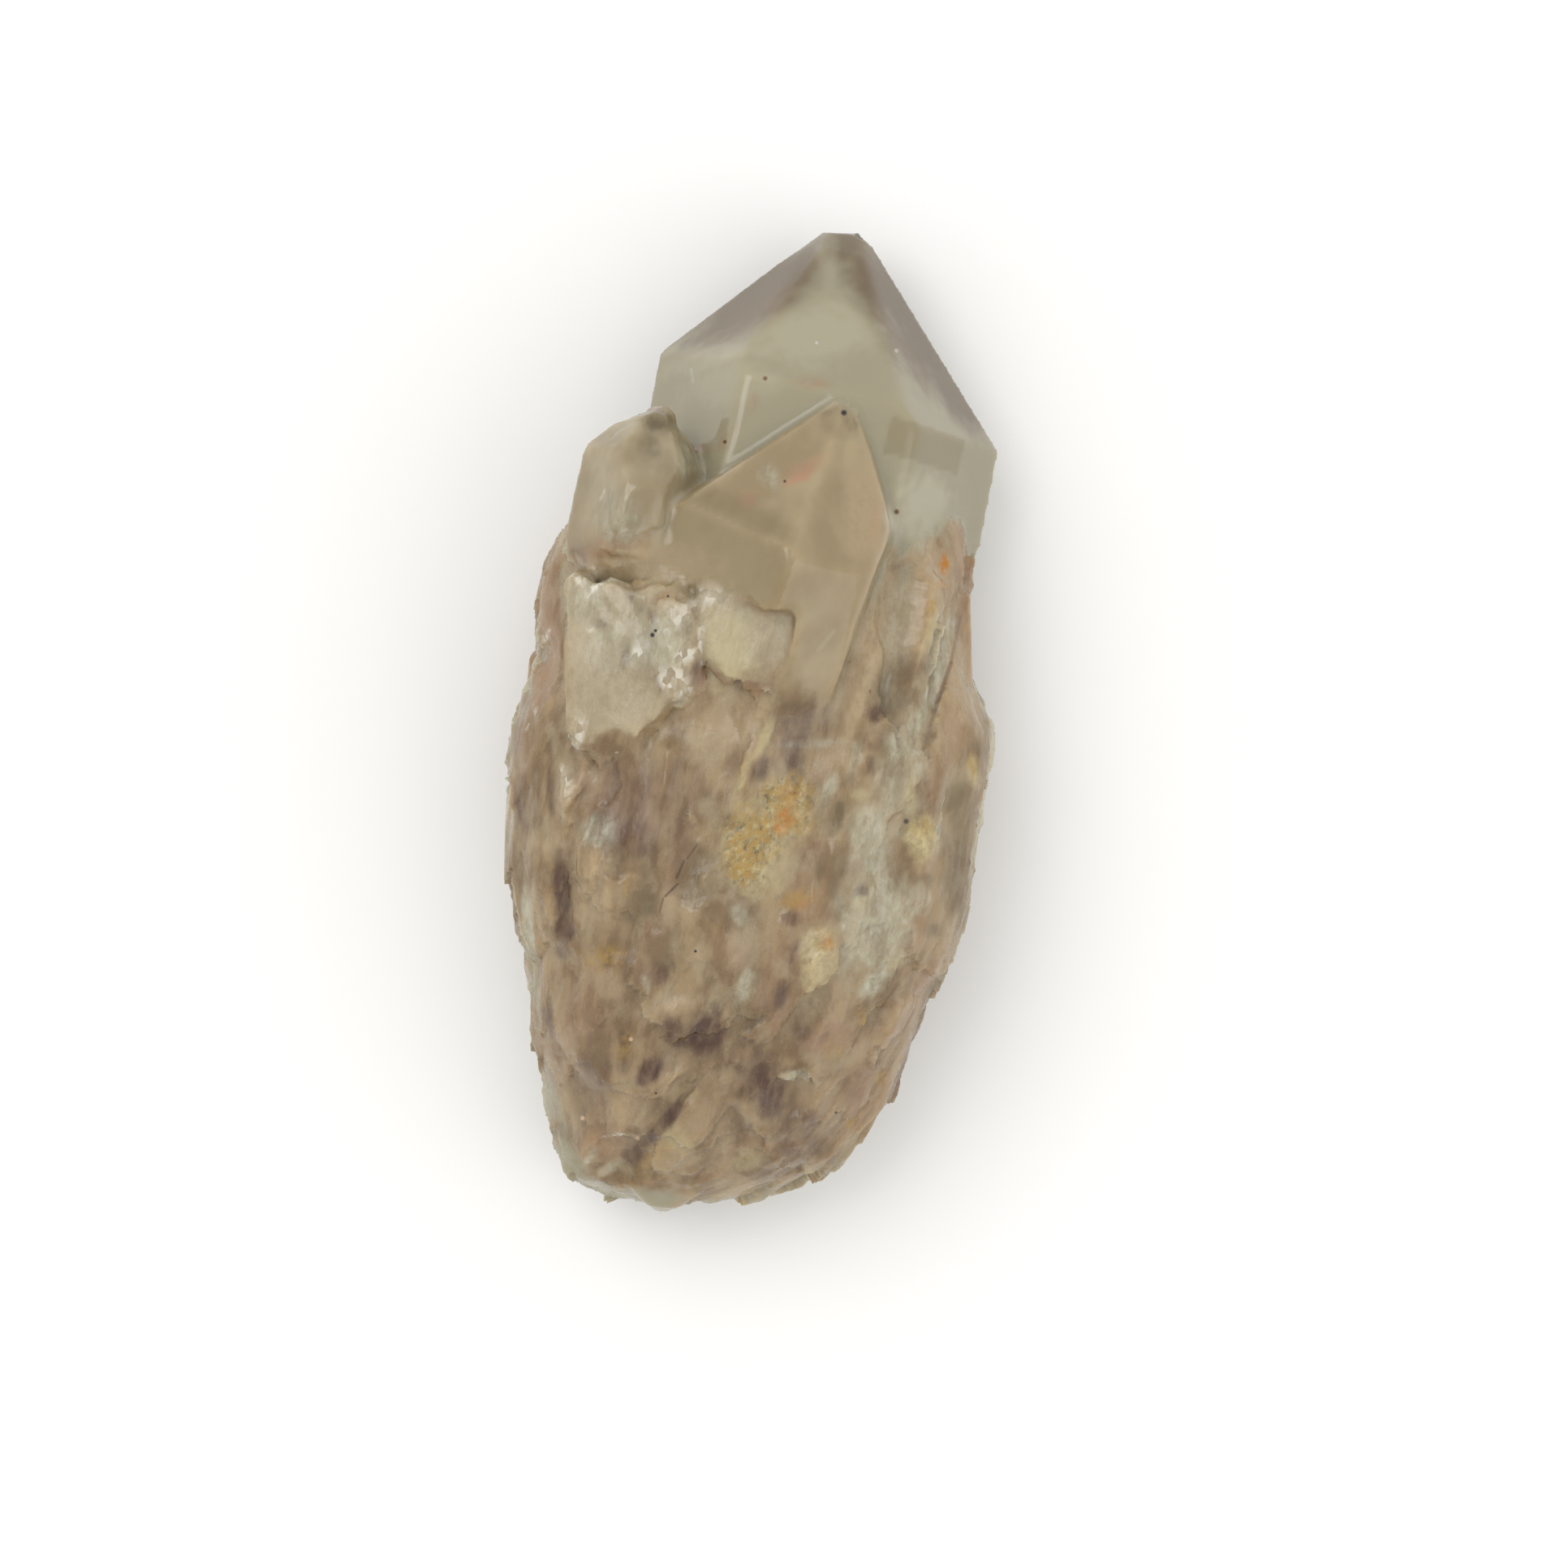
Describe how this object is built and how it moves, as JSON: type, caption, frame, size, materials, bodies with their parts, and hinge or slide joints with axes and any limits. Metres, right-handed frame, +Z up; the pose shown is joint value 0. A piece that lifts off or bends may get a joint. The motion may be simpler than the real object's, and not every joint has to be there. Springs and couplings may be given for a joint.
{
  "type": "citrine cluster",
  "caption": "Cluster of pale smoky-yellow quartz points grown together, one large clear tip over a milky, rust-stained ribbed body, lying on its flat back",
  "frame": {"origin": "On the ground under the middle of the stone as it lies on its back", "axes": "+Y runs along the stone towards the large tip, +Z is up out of its best side, +X is to the right seen from above"},
  "size_m": [0.0488, 0.0976, 0.0346],
  "materials": {
    "quartz": "Natural quartz: glassy clear tip and faces over a milky inside, satin striped prism faces, rough brown, white and rust-stained body"
  },
  "bodies": {
    "root": {"citrine_cluster": "quartz"}
  },
  "joints": []
}
